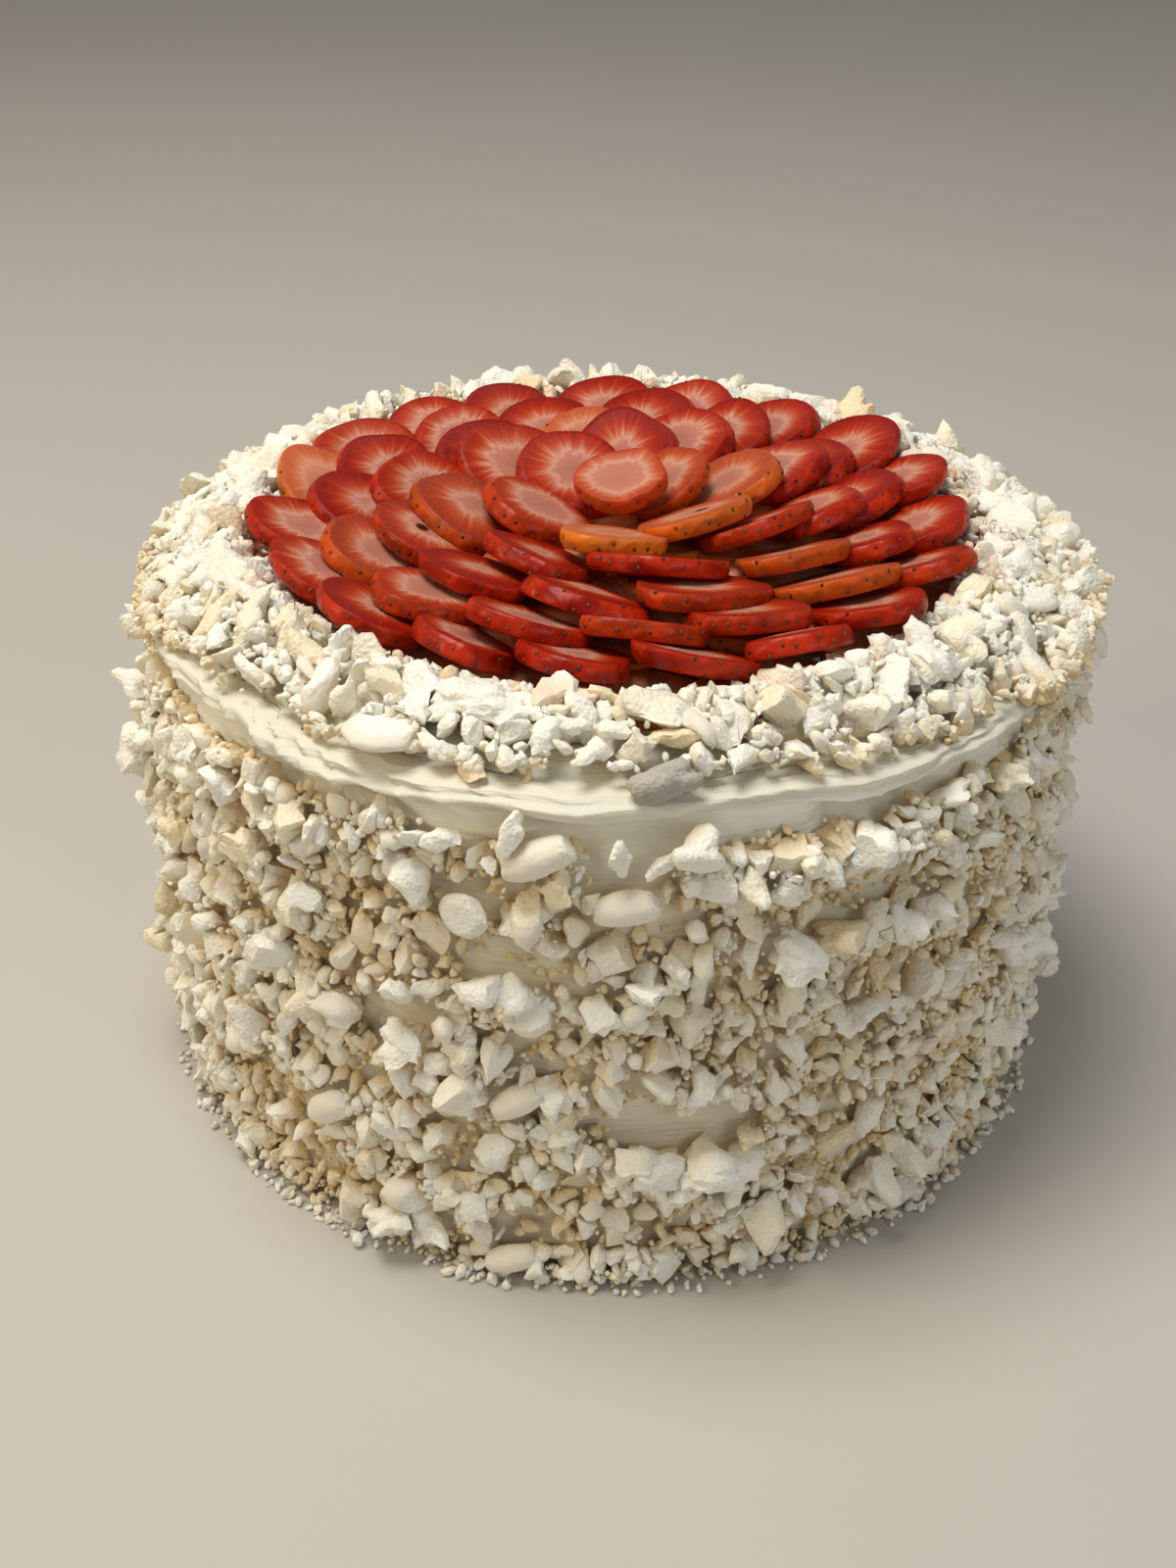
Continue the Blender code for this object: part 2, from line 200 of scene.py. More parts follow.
def tint(red, green, blue):
    """A colour given as it looks on a screen, from 0 to 255."""

    def linear(level):
        level /= 255.0
        return level / 12.92 if level <= 0.04045 else ((level + 0.055) / 1.055) ** 2.4

    return (linear(red), linear(green), linear(blue), 1.0)


class Shade:
    """An output socket that can be reckoned with: a sum on it adds its Math nodes."""

    def __init__(self, paint, socket):
        self.paint = paint
        self.socket = socket

    def math(self, operation, *values):
        return self.paint.node("ShaderNodeMath", {"operation": operation}, dict(enumerate(values)))

    def __add__(self, other):
        return self.math("ADD", self, other)

    __radd__ = __add__

    def __sub__(self, other):
        return self.math("SUBTRACT", self, other)

    def __rsub__(self, other):
        return self.math("SUBTRACT", other, self)

    def __mul__(self, other):
        return self.math("MULTIPLY", self, other)

    __rmul__ = __mul__

    def step(self, low, high):
        """0 below low, 1 above high, and smooth between."""
        inputs = {"Value": self, "From Min": low, "From Max": high}
        return self.paint.node("ShaderNodeMapRange", {"interpolation_type": "SMOOTHSTEP"}, inputs)


class Paint:
    """A material whose nodes are each added, set and linked by one call."""

    def __init__(self, name, **constants):
        self.material = bpy.data.materials.new(name)
        self.material.use_nodes = True
        self.shader = self.material.node_tree.nodes["Principled BSDF"]
        for socket, value in constants.items():
            self.shader.inputs[socket.replace("_", " ")].default_value = value

    def feed(self, socket, value):
        if isinstance(value, Shade):
            self.material.node_tree.links.new(value.socket, socket)
        else:
            socket.default_value = value

    def node(self, kind, settings=None, inputs=None, output=0):
        node = self.material.node_tree.nodes.new(kind)
        for name, value in (settings or {}).items():
            if name == "stops":
                self.set_stops(node.color_ramp, value)
            else:
                setattr(node, name, value)
        for name, value in (inputs or {}).items():
            self.feed(node.inputs[name], value)
        return Shade(self, node.outputs[output])

    def set_stops(self, ramp, stops):
        while len(ramp.elements) < len(stops):
            ramp.elements.new(1.0)
        for element, (place, colour) in zip(ramp.elements, stops):
            element.position = place
            element.color = colour

    def attribute(self, name):
        return self.node("ShaderNodeAttribute", {"attribute_name": name}, output="Fac")

    def vector_math(self, operation, *values, output="Vector"):
        inputs = dict(enumerate(values))
        return self.node("ShaderNodeVectorMath", {"operation": operation}, inputs, output)

    def scaled(self, scale):
        """Object coordinates, times a scale."""
        place = self.node("ShaderNodeTexCoord", output="Object")
        return self.vector_math("MULTIPLY", place, scale)

    def noise(self, vector, scale=1.0, detail=2.0):
        inputs = {"Vector": vector, "Scale": scale, "Detail": detail}
        return self.node("ShaderNodeTexNoise", None, inputs, output="Fac")

    def mixed(self, share, first, second):
        inputs = {0: share, 6: first, 7: second}
        return self.node("ShaderNodeMix", {"data_type": "RGBA"}, inputs, output=2)

    def bump(self, height, distance, strength=1.0):
        inputs = {"Height": height, "Distance": distance, "Strength": strength}
        return self.node("ShaderNodeBump", None, inputs)

    def finish(self, **inputs):
        for name, value in inputs.items():
            self.feed(self.shader.inputs[name.replace("_", " ")], value)
        return self.material


paint = Paint(
    "cream",
    Subsurface_Weight=0.2,
    Subsurface_Scale=0.002,
    Subsurface_Radius=(1.0, 0.8, 0.5),
    Specular_IOR_Level=0.3,
)
spread = paint.node("ShaderNodeAttribute", {"attribute_name": "stroke"}, output="Vector")
spread = paint.vector_math("MULTIPLY", spread, (60.0, 60.0, 900.0))
streaks = paint.noise(spread, detail=3.0)
patches = paint.noise(paint.scaled((28.0, 28.0, 40.0)))
place = paint.node("ShaderNodeTexCoord", output="Object")
height = paint.node("ShaderNodeSeparateXYZ", None, {0: place}, 2)
colour = paint.mixed(patches.step(0.35, 0.70), tint(248, 245, 232), tint(244, 238, 218))
# Painted shade: above the lip the top of the cream is painted darker, to make up for the strong light it
# gets from above.
colour = paint.mixed((height - 0.1165).step(0.0, 0.0025), colour, tint(226, 221, 203))
# Painted warm shade: below the lip the side of the cream is painted darker and more golden, as the shade in
# the gaps between the meringue.
colour = paint.mixed((0.108 - height).step(0.0, 0.006) * 0.8, colour, tint(226, 214, 186))
rough = 0.46 + 0.18 * patches
normal = paint.bump(streaks, 0.0008, 0.7)
cream.data.materials.append(paint.finish(Base_Color=colour, Roughness=rough, Normal=normal))
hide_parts("cake")
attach(cream, "root")

# Broken meringue. Baked meringue is crumbled by hand and pressed into the soft cream: chips of the smooth
# thin shell, lumps of the porous inside, and crumbs and grains in all the gaps. It is heaped round the
# rosette.
SHARD_SIZE = (0.0062, 0.0108)
LUMP_SIZE = (0.0064, 0.0130)
PEBBLE_SIZE = (0.0038, 0.0072)
CRUMB_SIZE = (0.0019, 0.0040)
GRAIN_SIZE = (0.0009, 0.0019)
HEAP_SHARD_SIZE = (0.0070, 0.0115)
HEAP_LUMP_SIZE = (0.0065, 0.0160)
SIDE_LOW = 0.0015
SIDE_HIGH = 0.1215
COAT = 0.0070  # how thick the meringue lies on the side
CLUMP = 0.0050  # how much thicker it is in a clump, and thinner beside one
BITS_GROUND = 0.0042  # how far out the pieces that stand out start
FOOT_RADIUS = 0.1035
FOOT_WIDTH = 0.0062
HEAP_INNER = 0.0768
HEAP_EDGE = 0.1060
HEAP_HEIGHT = 0.0118
HEAP_AT_BERRIES = 0.0030  # how much lower it is there
HEAP_ON_LIP = 0.0080  # and on the lip
GROUND_STEP = 0.001
TOP_HALF = 0.12  # half of the square in which the heap on top is reckoned
# Azimuth and height in the middle of each, and half its width and height
BARE_PATCHES = (
    (-113, 0.062, 7.0, 0.011),
    (-80, 0.044, 11.0, 0.006),
    (-88, 0.106, 6.0, 0.008),
    (-101, 0.095, 3.0, 0.004),
    (-60, 0.060, 4.0, 0.004),
    (-128, 0.090, 3.0, 0.006),
    (35, 0.078, 7.0, 0.008),
    (115, 0.050, 8.0, 0.008),
    (160, 0.085, 5.0, 0.006),
    (-20, 0.035, 4.0, 0.005),
)
RANDOM_START = 7  # fixed, so that each run gives the same cake
rng = random.Random(RANDOM_START)
noise.seed_set(RANDOM_START)


class Shape:
    """The mesh of one kind of piece, a unit long: points, triangles, and how far each point is crust."""

    def __init__(self, points, triangles, crust):
        points = points - 0.5 * (points.min(0) + points.max(0))
        self.points = points / np.ptp(points, 0).max()
        self.half_height = float(self.points[:, 2].max())
        self.triangles = triangles
        self.crust = crust


def read_and_removed(piece, crust):
    """The shape of an object, which is then removed."""
    mesh = piece.data
    mesh.calc_loop_triangles()
    points = np.array([vert.co[:] for vert in mesh.vertices])
    triangles = np.array([triangle.vertices[:] for triangle in mesh.loop_triangles])
    bpy.data.objects.remove(piece)
    return Shape(points, triangles, np.array(crust, float))


def any_way():
    return Vector((rng.gauss(0, 1), rng.gauss(0, 1), rng.gauss(0, 1))).normalized()


def lump_shape(cuts, granules, knobs=0, squash=None, breaks=None, ragged=1.0):
    """A lump. One from the inside is a knot of crumbs that stick together and rough all over. One from the
    outside, with no knobs, is a squashed ball of smooth baked crust, ragged only where it broke."""
    nothing_selected()
    bpy.ops.mesh.primitive_cube_add(size=1.0)
    lump = bpy.context.object
    bpy.ops.object.mode_set(mode="EDIT")
    bpy.ops.mesh.select_all(action="SELECT")
    bpy.ops.mesh.subdivide(number_cuts=cuts)
    bpy.ops.mesh.quads_convert_to_tris()
    bpy.ops.object.mode_set(mode="OBJECT")
    squash = Vector(squash or (1.0, rng.uniform(0.45, 0.85), rng.uniform(0.42, 0.70)))
    if breaks is None:
        breaks = [(any_way(), rng.uniform(0.10, 0.26)) for _ in range(5 if knobs else 3)]
    balls = [(any_way() * rng.uniform(0.12, 0.32), rng.uniform(0.15, 0.27)) for _ in range(knobs)]
    shift = Vector((rng.uniform(0, 50), rng.uniform(0, 50), rng.uniform(0, 50)))
    crust = []
    for vert in lump.data.vertices:
        way = vert.co.normalized()
        reach = 0.22 if knobs else 0.5
        for centre, radius in balls:
            along = way.dot(centre)
            inside = radius**2 - centre.length_squared + along**2
            if inside > 0.0:
                reach = max(reach, along + math.sqrt(inside))
        point = reach * way * squash
        smooth = not knobs
        for normal, distance in breaks:
            over = point.dot(Vector(normal)) - distance
            if over > 0.0:
                point -= Vector(normal) * over
                smooth = False
        rough = 0.2 if smooth else ragged
        granule = noise.voronoi(point * granules + shift)[0][0]
        dent = noise.noise(point * 2.6 + shift)
        point *= 1.0 + rough * (0.50 * (0.40 - granule) + 0.38 * dent + rng.uniform(-0.05, 0.05))
        vert.co = point
        crust.append(1.0 if smooth else 0.0)
    return read_and_removed(lump, crust)


def shard_shape(crusted):
    """A broken plate, rough all over or with a smooth baked outside."""
    nothing_selected()
    bpy.ops.mesh.primitive_grid_add(x_subdivisions=6, y_subdivisions=6, size=1.2)
    shard = bpy.context.object
    bpy.ops.object.mode_set(mode="EDIT")
    corners = rng.randint(4, 6)
    start = rng.uniform(0.0, 2.0 * math.pi)
    for corner in range(corners):
        turn = start + 2.0 * math.pi * (corner + rng.uniform(-0.25, 0.25)) / corners
        normal = (math.cos(turn), math.sin(turn), 0.0)
        reach = rng.uniform(0.26, 0.50)
        bpy.ops.mesh.select_all(action="SELECT")
        middle = [reach * part for part in normal]
        bpy.ops.mesh.bisect(plane_co=middle, plane_no=normal, clear_outer=True)
    bpy.ops.object.mode_set(mode="OBJECT")
    bend = rng.uniform(0.2, 1.1)
    twist = rng.uniform(-0.3, 0.3)
    for vert in shard.data.vertices:
        x, y, _ = vert.co
        vert.co.z = -bend * x * x + twist * x * y - 0.15 * bend * y * y
    wall = shard.modifiers.new("wall", "SOLIDIFY")
    wall.thickness = rng.uniform(0.20, 0.38)
    wall.offset = -1.0
    shard.select_set(True)
    bpy.ops.object.modifier_apply(modifier="wall")
    outside = len(shard.data.vertices) // 2
    shift = Vector((rng.uniform(0, 50), rng.uniform(0, 50), 0.0))
    crust = []
    for vert in shard.data.vertices:
        smooth = crusted and vert.index < outside
        rough = 0.2 if smooth else 1.0
        dent = noise.noise_vector(vert.co * 6.0 + shift)
        granule = noise.voronoi(vert.co * 6.0 + shift)[0][0]
        vert.co += rough * Vector((0.09 * dent.x, 0.09 * dent.y, 0.14 * dent.z - 0.16 * granule))
        crust.append(1.0 if smooth else 0.0)
    return read_and_removed(shard, crust)


class Ground:
    """Heights of what already lies on a surface, so that each new piece rests on the ones before."""

    def __init__(self, heights, wraps):
        self.heights = heights
        self.wraps = wraps

    def window(self, u, v, radius):
        reach = max(1, round(radius / GROUND_STEP))
        offsets = np.arange(-reach, reach + 1)
        columns = round(u / GROUND_STEP) + offsets
        if self.wraps:
            columns = columns % self.heights.shape[0]
        else:
            columns = np.clip(columns, 0, self.heights.shape[0] - 1)
        rows = np.clip(round(v / GROUND_STEP) + offsets, 0, self.heights.shape[1] - 1)
        return np.ix_(columns, rows), (offsets[:, None] ** 2 + offsets**2) / reach**2

    def level(self, u, v, radius):
        """The height at which a piece comes to rest."""
        patch = self.heights[self.window(u, v, radius)[0]]
        return 0.7 * float(patch.mean()) + 0.3 * float(patch.max())

    def pile(self, u, v, radius, low, high):
        """Marks the dome of a piece that now lies there."""
        window, distance = self.window(u, v, radius)
        dome = np.where(distance <= 1.3, high - 1.2 * (high - low) * distance, -1.0)
        self.heights[window] = np.maximum(self.heights[window], dome)


class Strewn:
    """Pieces of one kind that end up as one mesh, with what the material asks of each point: how far it is
    baked crust, how golden its piece is, how deep it lies, which the material paints as warm shade, and how
    far berry juice has stained it."""

    def __init__(self, name, shapes):
        self.name = name
        self.shapes = shapes
        self.points, self.triangles = [], []
        self.marks = {"crust": [], "tone": [], "deep": [], "stain": []}
        self.count = 0

    def drawn(self):
        return self.shapes[rng.randrange(len(self.shapes))]

    def add(self, shape, matrix, heights_of, stain=0.0, tone=None):
        points = shape.points @ np.array(matrix.to_3x3()).T + np.array(matrix.translation)
        points[:, 2] = np.maximum(points[:, 2], 0.0)
        self.points.append(points)
        self.triangles.append(shape.triangles + self.count)
        if tone is None:
            tone = min(1.0, max(0.0, rng.gauss(0.28, 0.20)))
        self.marks["crust"].append(shape.crust)
        self.marks["tone"].append(np.full(len(points), tone))
        # How low each point lies, near the cream: the material paints low points golden and darker, as
        # painted warm shade.
        self.marks["deep"].append(1.0 - smooth_step(0.0005, 0.0062, heights_of(points)))
        self.marks["stain"].append(np.full(len(points), stain))
        self.count += len(points)

    def made(self, material, sharp_angle):
        points = np.concatenate(self.points)
        triangles = np.concatenate(self.triangles)
        mesh = bpy.data.meshes.new(self.name)
        mesh.from_pydata(points, [], triangles)
        for name, values in self.marks.items():
            layer = mesh.attributes.new(name, "FLOAT", "POINT")
            layer.data.foreach_set("value", np.concatenate(values).astype(np.float32))
        mesh.materials.append(material)
        mesh.polygons.foreach_set("use_smooth", np.ones(len(triangles), bool))
        mesh.set_sharp_from_angle(angle=math.radians(sharp_angle))
        piece = bpy.data.objects.new(self.name, mesh)
        bpy.context.scene.collection.objects.link(piece)
        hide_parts("cake")
        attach(piece, "root")
        return piece


def side_cover(azimuth, height):
    """How much of the side is under meringue there, from 0 to 1."""
    wander = 0.0030 * noise.noise(Vector((math.cos(azimuth), math.sin(azimuth), 6.0)) * 6.0)
    cover = 1.0 - bare_lip(azimuth) * smooth_step(0.1110, 0.1150, height + wander)
    for patch_azimuth, patch_height, half_width, half_height in BARE_PATCHES:
        across = angle_between(azimuth, math.radians(patch_azimuth)) / math.radians(half_width)
        up = (height - patch_height) / half_height
        cover *= smooth_step(0.55, 1.1, math.hypot(across, up))
    return float(cover)


def sizes_of(kind, count):
    """Sizes of so many pieces, the largest first."""
    low, high = kind
    return sorted((low + (high - low) * rng.random() ** 1.4 for _ in range(count)), reverse=True)


def fine_rubble(azimuth):
    """1 where the meringue is crushed finer, on the right of the front."""
    return close_to(math.radians(-40), azimuth, 0.25, 0.60)


def loose_matrix(place, normal, size, thick, lean, spin=None):
    """Lays a piece with its flat side on a surface, turned at random and askew."""
    upright = normal.to_track_quat("Z", "Y").to_matrix().to_4x4()
    spin = Matrix.Rotation(rng.uniform(0.0, 2.0 * math.pi) if spin is None else spin, 4, "Z")
    askew = Matrix.Rotation(rng.gauss(0.0, lean), 4, "X") @ Matrix.Rotation(rng.gauss(0.0, lean), 4, "Y")
    stretch = Matrix.Diagonal((size, size * rng.uniform(0.85, 1.0), size * thick, 1.0))
    return Matrix.Translation(place) @ upright @ askew @ spin @ stretch


columns = round(2.0 * math.pi * CREAM_SIDE / GROUND_STEP)
rows = round(SIDE_HIGH / GROUND_STEP) + 8
side_ground = Ground(np.zeros((columns, rows)), wraps=True)
for row in range(rows):
    height = row * GROUND_STEP
    bulge = 0.0032 * float(smooth_step(0.111, 0.116, height))
    side_ground.heights[:, row] = bulge * float(1.0 - smooth_step(0.1185, 0.122, height))


def above_side(points):
    return np.hypot(points[:, 0], points[:, 1]) - CREAM_SIDE


def side_room(azimuth, height):
    """How thick the meringue lies there: it sticks in clumps."""
    place = Vector((math.cos(azimuth) * 6.0, math.sin(azimuth) * 6.0, height * 100.0))
    return COAT + CLUMP * noise.noise(place)


def coat_side(strewn, kind, count, tries, lean, poke, ledge=0.0):
    """Presses pieces into the side: of a few places drawn at random, each takes the one with the most room
    left, and drops off if more than its share would poke out. A ledge turns its flat side up."""
    for size in sizes_of(kind, count):
        best = None
        for _ in range(tries):
            azimuth = rng.uniform(-math.pi, math.pi)
            height = rng.uniform(SIDE_LOW + 0.42 * size, SIDE_HIGH - 0.2 * size)
            if rng.random() > side_cover(azimuth, height) ** 2:
                continue
            if size > 0.0065 and rng.random() < 0.75 * fine_rubble(azimuth):
                continue
            level = side_ground.level(azimuth * CREAM_SIDE, height, 0.33 * size)
            room = side_room(azimuth, height) - level
            if best is None or room > best[0]:
                best = (room, level, azimuth, height)
        if best is None:
            continue
        room, level, azimuth, height = best
        shape = strewn.drawn()
        thick = rng.uniform(0.85, 1.15)
        half = size * thick * shape.half_height
        if (2.0 * half) * (1.0 - poke) > room:
            continue
        out = level + 0.75 * half
        press_on_side(strewn, shape, azimuth, height, out, size, thick, lean, rng.random() * ledge)


def press_on_side(strewn, shape, azimuth, height, out, size, thick, lean, ledge, spin=None, tone=None):
    outward = Vector((math.cos(azimuth), math.sin(azimuth), 0.0))
    normal = (outward + ledge * Vector((0.0, 0.0, 1.0))).normalized()
    place = outward * (CREAM_SIDE + out) + Vector((0.0, 0.0, height))
    strewn.add(shape, loose_matrix(place, normal, size, thick, lean, spin), above_side, 0.0, tone)
    top = out + size * thick * shape.half_height
    side_ground.pile(azimuth * CREAM_SIDE, height, 0.33 * size, out, top)


top_cells = round(2.0 * TOP_HALF / GROUND_STEP)
cells = (np.arange(top_cells) + 0.5) * GROUND_STEP - TOP_HALF
cell_radius = np.hypot(*np.meshgrid(cells, cells))
top_ground = Ground(-0.006 * smooth_step(0.1035, 0.1075, cell_radius), wraps=False)
top_ground.heights += (HEAP_BED - CREAM_TOP) * (1.0 - smooth_step(0.0900, 0.0960, cell_radius))
top_ground.heights += 0.0020 * (1.0 - smooth_step(0.0800, 0.0870, cell_radius))


def above_top(points):
    return points[:, 2] - CREAM_TOP


def heap_edge(azimuth):
    """How far out the heap on top reaches: short of the lip where that is bare, and over it elsewhere."""
    wander = 0.0040 * noise.noise(Vector((math.cos(azimuth), math.sin(azimuth), 3.0)) * 5.0)
    right = close_to(math.radians(-12), azimuth, 0.25, 0.60)
    left = close_to(math.radians(-108), azimuth, 0.45, 0.75)
    return HEAP_EDGE + wander + 0.0035 * right - 0.0025 * bare_lip(azimuth) - 0.0028 * left


def heap_room(radius):
    """How high the heap is: up to the rims of the berries on the inside, and thin on the lip."""
    inner = 1.0 - float(smooth_step(0.0790, 0.0850, radius))
    return HEAP_HEIGHT - HEAP_AT_BERRIES * inner - HEAP_ON_LIP * float(smooth_step(0.0880, 0.1050, radius))


def heap_top(strewn, kind, count, tries, lean, poke):
    """Heaps pieces round the rosette: each falls where there is most room, as on the side."""
    for size in sizes_of(kind, count):
        best = None
        for _ in range(tries):
            azimuth = rng.uniform(-math.pi, math.pi)
            radius = rng.uniform(HEAP_INNER + 0.35 * size, heap_edge(azimuth) - 0.30 * size)
            x, y = radius * math.cos(azimuth), radius * math.sin(azimuth)
            level = top_ground.level(x + TOP_HALF, y + TOP_HALF, 0.33 * size)
            room = heap_room(radius) - level
            if best is None or room > best[0]:
                best = (room, level, azimuth, radius)
        room, level, azimuth, radius = best
        shape = strewn.drawn()
        thick = rng.uniform(0.85, 1.15)
        half = size * thick * shape.half_height
        if (2.0 * half) * (1.0 - poke) > room:
            continue
        stain = float(1.0 - smooth_step(0.0830, 0.0905, radius)) * rng.random() ** 2
        drop_on_top(strewn, shape, azimuth, radius, level + 0.8 * half, size, thick, lean, stain)


def drop_on_top(strewn, shape, azimuth, radius, up, size, thick, lean, stain, spin=None, tone=None):
    outward = Vector((math.cos(azimuth), math.sin(azimuth), 0.0))
    edge = float(smooth_step(0.098, 0.108, radius))
    normal = (Vector((0.0, 0.0, 1.0)) + 0.8 * edge * outward).normalized()
    place = outward * radius + Vector((0.0, 0.0, CREAM_TOP + up))
    strewn.add(shape, loose_matrix(place, normal, size, thick, lean, spin), above_top, stain, tone)
    top = up + size * thick * shape.half_height
    top_ground.pile(place.x + TOP_HALF, place.y + TOP_HALF, 0.33 * size, up, top)


paint = Paint(
    "meringue",
    Subsurface_Weight=0.25,
    Subsurface_Scale=0.002,
    Subsurface_Radius=(1.0, 0.62, 0.30),
    Specular_IOR_Level=0.12,
)
tone = paint.attribute("tone")
crust = paint.attribute("crust")
deep = paint.attribute("deep")
stain = paint.attribute("stain")
mottle = paint.noise(paint.scaled((120.0, 120.0, 120.0)), detail=3.0)
grain = paint.noise(paint.scaled((1000.0, 1000.0, 1000.0)), detail=4.0)
whole = paint.scaled((1.0, 1.0, 1.0))
pits = paint.node("ShaderNodeTexVoronoi", None, {"Vector": whole, "Scale": 1100.0}, "Distance")
ivory = paint.mixed((tone + 0.5 * mottle - 0.25).step(0.1, 0.9), tint(248, 244, 232), tint(238, 222, 186))
shell = paint.mixed((tone + mottle - 0.5).step(0.0, 1.0), tint(238, 230, 214), tint(216, 202, 180))
colour = paint.mixed(crust, ivory, shell)
# Painted warm shade: the lower a point lies, near the cream, the more golden and darker it is painted.
colour = paint.mixed(deep * 0.75, colour, tint(231, 198, 138))
colour = paint.mixed((stain + mottle - 0.75).step(0.0, 0.6) * 0.5, colour, tint(240, 178, 132))
colour = paint.mixed((tone - 1.0).step(0.2, 0.8) * 0.85, colour, tint(168, 166, 160))
meringue = paint.finish(
    Base_Color=colour,
    Roughness=0.95 - 0.2 * crust,
    Normal=paint.bump((grain + 0.6 * pits) * (1.0 - 0.75 * crust), 0.0006, 0.75),
)

shard_shapes = [shard_shape(index < 5) for index in range(28)]
crust_shapes = [lump_shape(4, 4.2) for _ in range(5)]
knot_shapes = [lump_shape(4, 5.2, rng.randint(5, 8)) for _ in range(26)]
pebble_shapes = [lump_shape(2, 3.2, rng.randint(3, 5) if index > 5 else 0) for index in range(34)]
crumb_breaks = [[(any_way(), rng.uniform(0.1, 0.3)) for _ in range(3)] for _ in range(30)]
crumb_shapes = [lump_shape(1, 2.4, breaks=breaks) for breaks in crumb_breaks]
for shape in crumb_shapes:
    shape.crust[:] = 0.0
grain_shapes = []
for _ in range(12):
    nothing_selected()
    bpy.ops.mesh.primitive_ico_sphere_add(subdivisions=1)
    for vert in bpy.context.object.data.vertices:
        vert.co *= rng.uniform(0.6, 1.1)
    grain_shapes.append(read_and_removed(bpy.context.object, [0.0] * 12))


def strewn_kinds(where, crusts):
    """What is strewn on the side or the top: shards, lumps, pebbles, crumbs and grains."""
    kinds = {
        "shards": shard_shapes,
        "lumps": crusts + knot_shapes,
        "pebbles": pebble_shapes,
        "crumbs": crumb_shapes,
        "grains": grain_shapes,
    }
    return [Strewn(f"meringue_{kind}_{where}", shapes) for kind, shapes in kinds.items()]


SHARP_ANGLES = (40, 54, 56, 60, 70)  # degrees, of the same five kinds
side_kinds = strewn_kinds("side", crust_shapes[:3])
shards_side, lumps_side, pebbles_side, crumbs_side, grains_side = side_kinds

# The bits at the front that catch the eye: azimuth, height, size, kind, turn and how far it faces up
tube_breaks = [((1.0, 0.2, 0.0), 0.40), ((-1.0, 0.1, 0.2), 0.42), ((0.0, 0.0, -1.0), 0.10)]
tube_shapes = [lump_shape(5, 4.2, 0, (1.0, 0.50, 0.46), tube_breaks, 0.35) for _ in range(3)]
stick_shapes = [lump_shape(5, 6.0, 8, (1.0, 0.50, 0.46), [], 0.8)]
disc_breaks = [((0.0, 0.0, 1.0), 0.12), ((1.0, 0.3, 0.0), 0.38)]
disc_shapes = [lump_shape(5, 4.2, 0, (1.0, 0.95, 0.36), disc_breaks, 0.4)]
plate_breaks = [[(any_way(), rng.uniform(0.22, 0.34)) for _ in range(2)] for _ in range(4)]
plate_shapes = [lump_shape(5, 6.5, 9, (1.0, 0.85, 0.50), breaks) for breaks in plate_breaks]
SIDE_BITS = (
    (-96.9, 0.1095, 0.0150, "tube", 30, 0.0),
    (-104.5, 0.0947, 0.0107, "disc", 20, 0.0),
    (-88.0, 0.0993, 0.0132, "tube", 12, 0.0),
    (-99.5, 0.1145, 0.0100, "knot", 60, 0.2),
    (-106.5, 0.1112, 0.0080, "knot", 5, 0.0),
    (-109.8, 0.1100, 0.0075, "knot", 5, 0.0),
    (-88.6, 0.1112, 0.0085, "knot", 80, 0.0),
    (-84.2, 0.1092, 0.0090, "knot", 50, 0.0),
    (-81.0, 0.1115, 0.0100, "knot", 20, 0.0),
    (-99.1, 0.0503, 0.0125, "tube", 35, 0.0),
    (-97.6, 0.0732, 0.0095, "disc", 0, 0.8),
    (-103.0, 0.0781, 0.0110, "knot", 10, 0.3),
    (-99.0, 0.0775, 0.0100, "knot", 70, 0.3),
    (-83.5, 0.0345, 0.0140, "plate", 0, 2.0),
    (-78.5, 0.0352, 0.0150, "plate", 15, 2.0),
    (-74.0, 0.0330, 0.0130, "plate", 40, 1.6),
    (-80.0, 0.0290, 0.0110, "knot", 25, 0.6),
    (-75.0, 0.0275, 0.0100, "knot", 65, 0.6),
    (-101.5, 0.0362, 0.0100, "knot", 0, 0.0),
    (-112.0, 0.0600, 0.0110, "plate", 15, 1.2),
    (-70.0, 0.0850, 0.0135, "plate", -10, 1.4),
    (-122.7, 0.0337, 0.0130, "tube", 40, 0.0),
    (-100.1, 0.0060, 0.0125, "tube", 20, 0.0),
)
bit_shapes = {
    "tube": tube_shapes,
    "stick": stick_shapes,
    "disc": disc_shapes,
    "plate": plate_shapes,
    "knot": knot_shapes,
}
for azimuth, height, size, kind, turn, ledge in SIDE_BITS:
    shapes = bit_shapes[kind]
    shape = shapes[rng.randrange(len(shapes))]
    out = BITS_GROUND + 0.6 * size * shape.half_height
    azimuth = math.radians(azimuth)
    turn = math.radians(turn)
    press_on_side(lumps_side, shape, azimuth, height, out, size, 1.0, 0.1, ledge, turn, tone=0.2)

# All the rest, the largest first
coat_side(shards_side, SHARD_SIZE, count=720, tries=14, lean=0.7, poke=0.60, ledge=2.5)
coat_side(lumps_side, LUMP_SIZE, count=625, tries=12, lean=1.0, poke=0.50)
coat_side(pebbles_side, PEBBLE_SIZE, count=1750, tries=10, lean=1.1, poke=0.40)
coat_side(crumbs_side, CRUMB_SIZE, count=3500, tries=8, lean=1.0, poke=0.15)
coat_side(grains_side, GRAIN_SIZE, count=3600, tries=4, lean=0.7, poke=0.0)

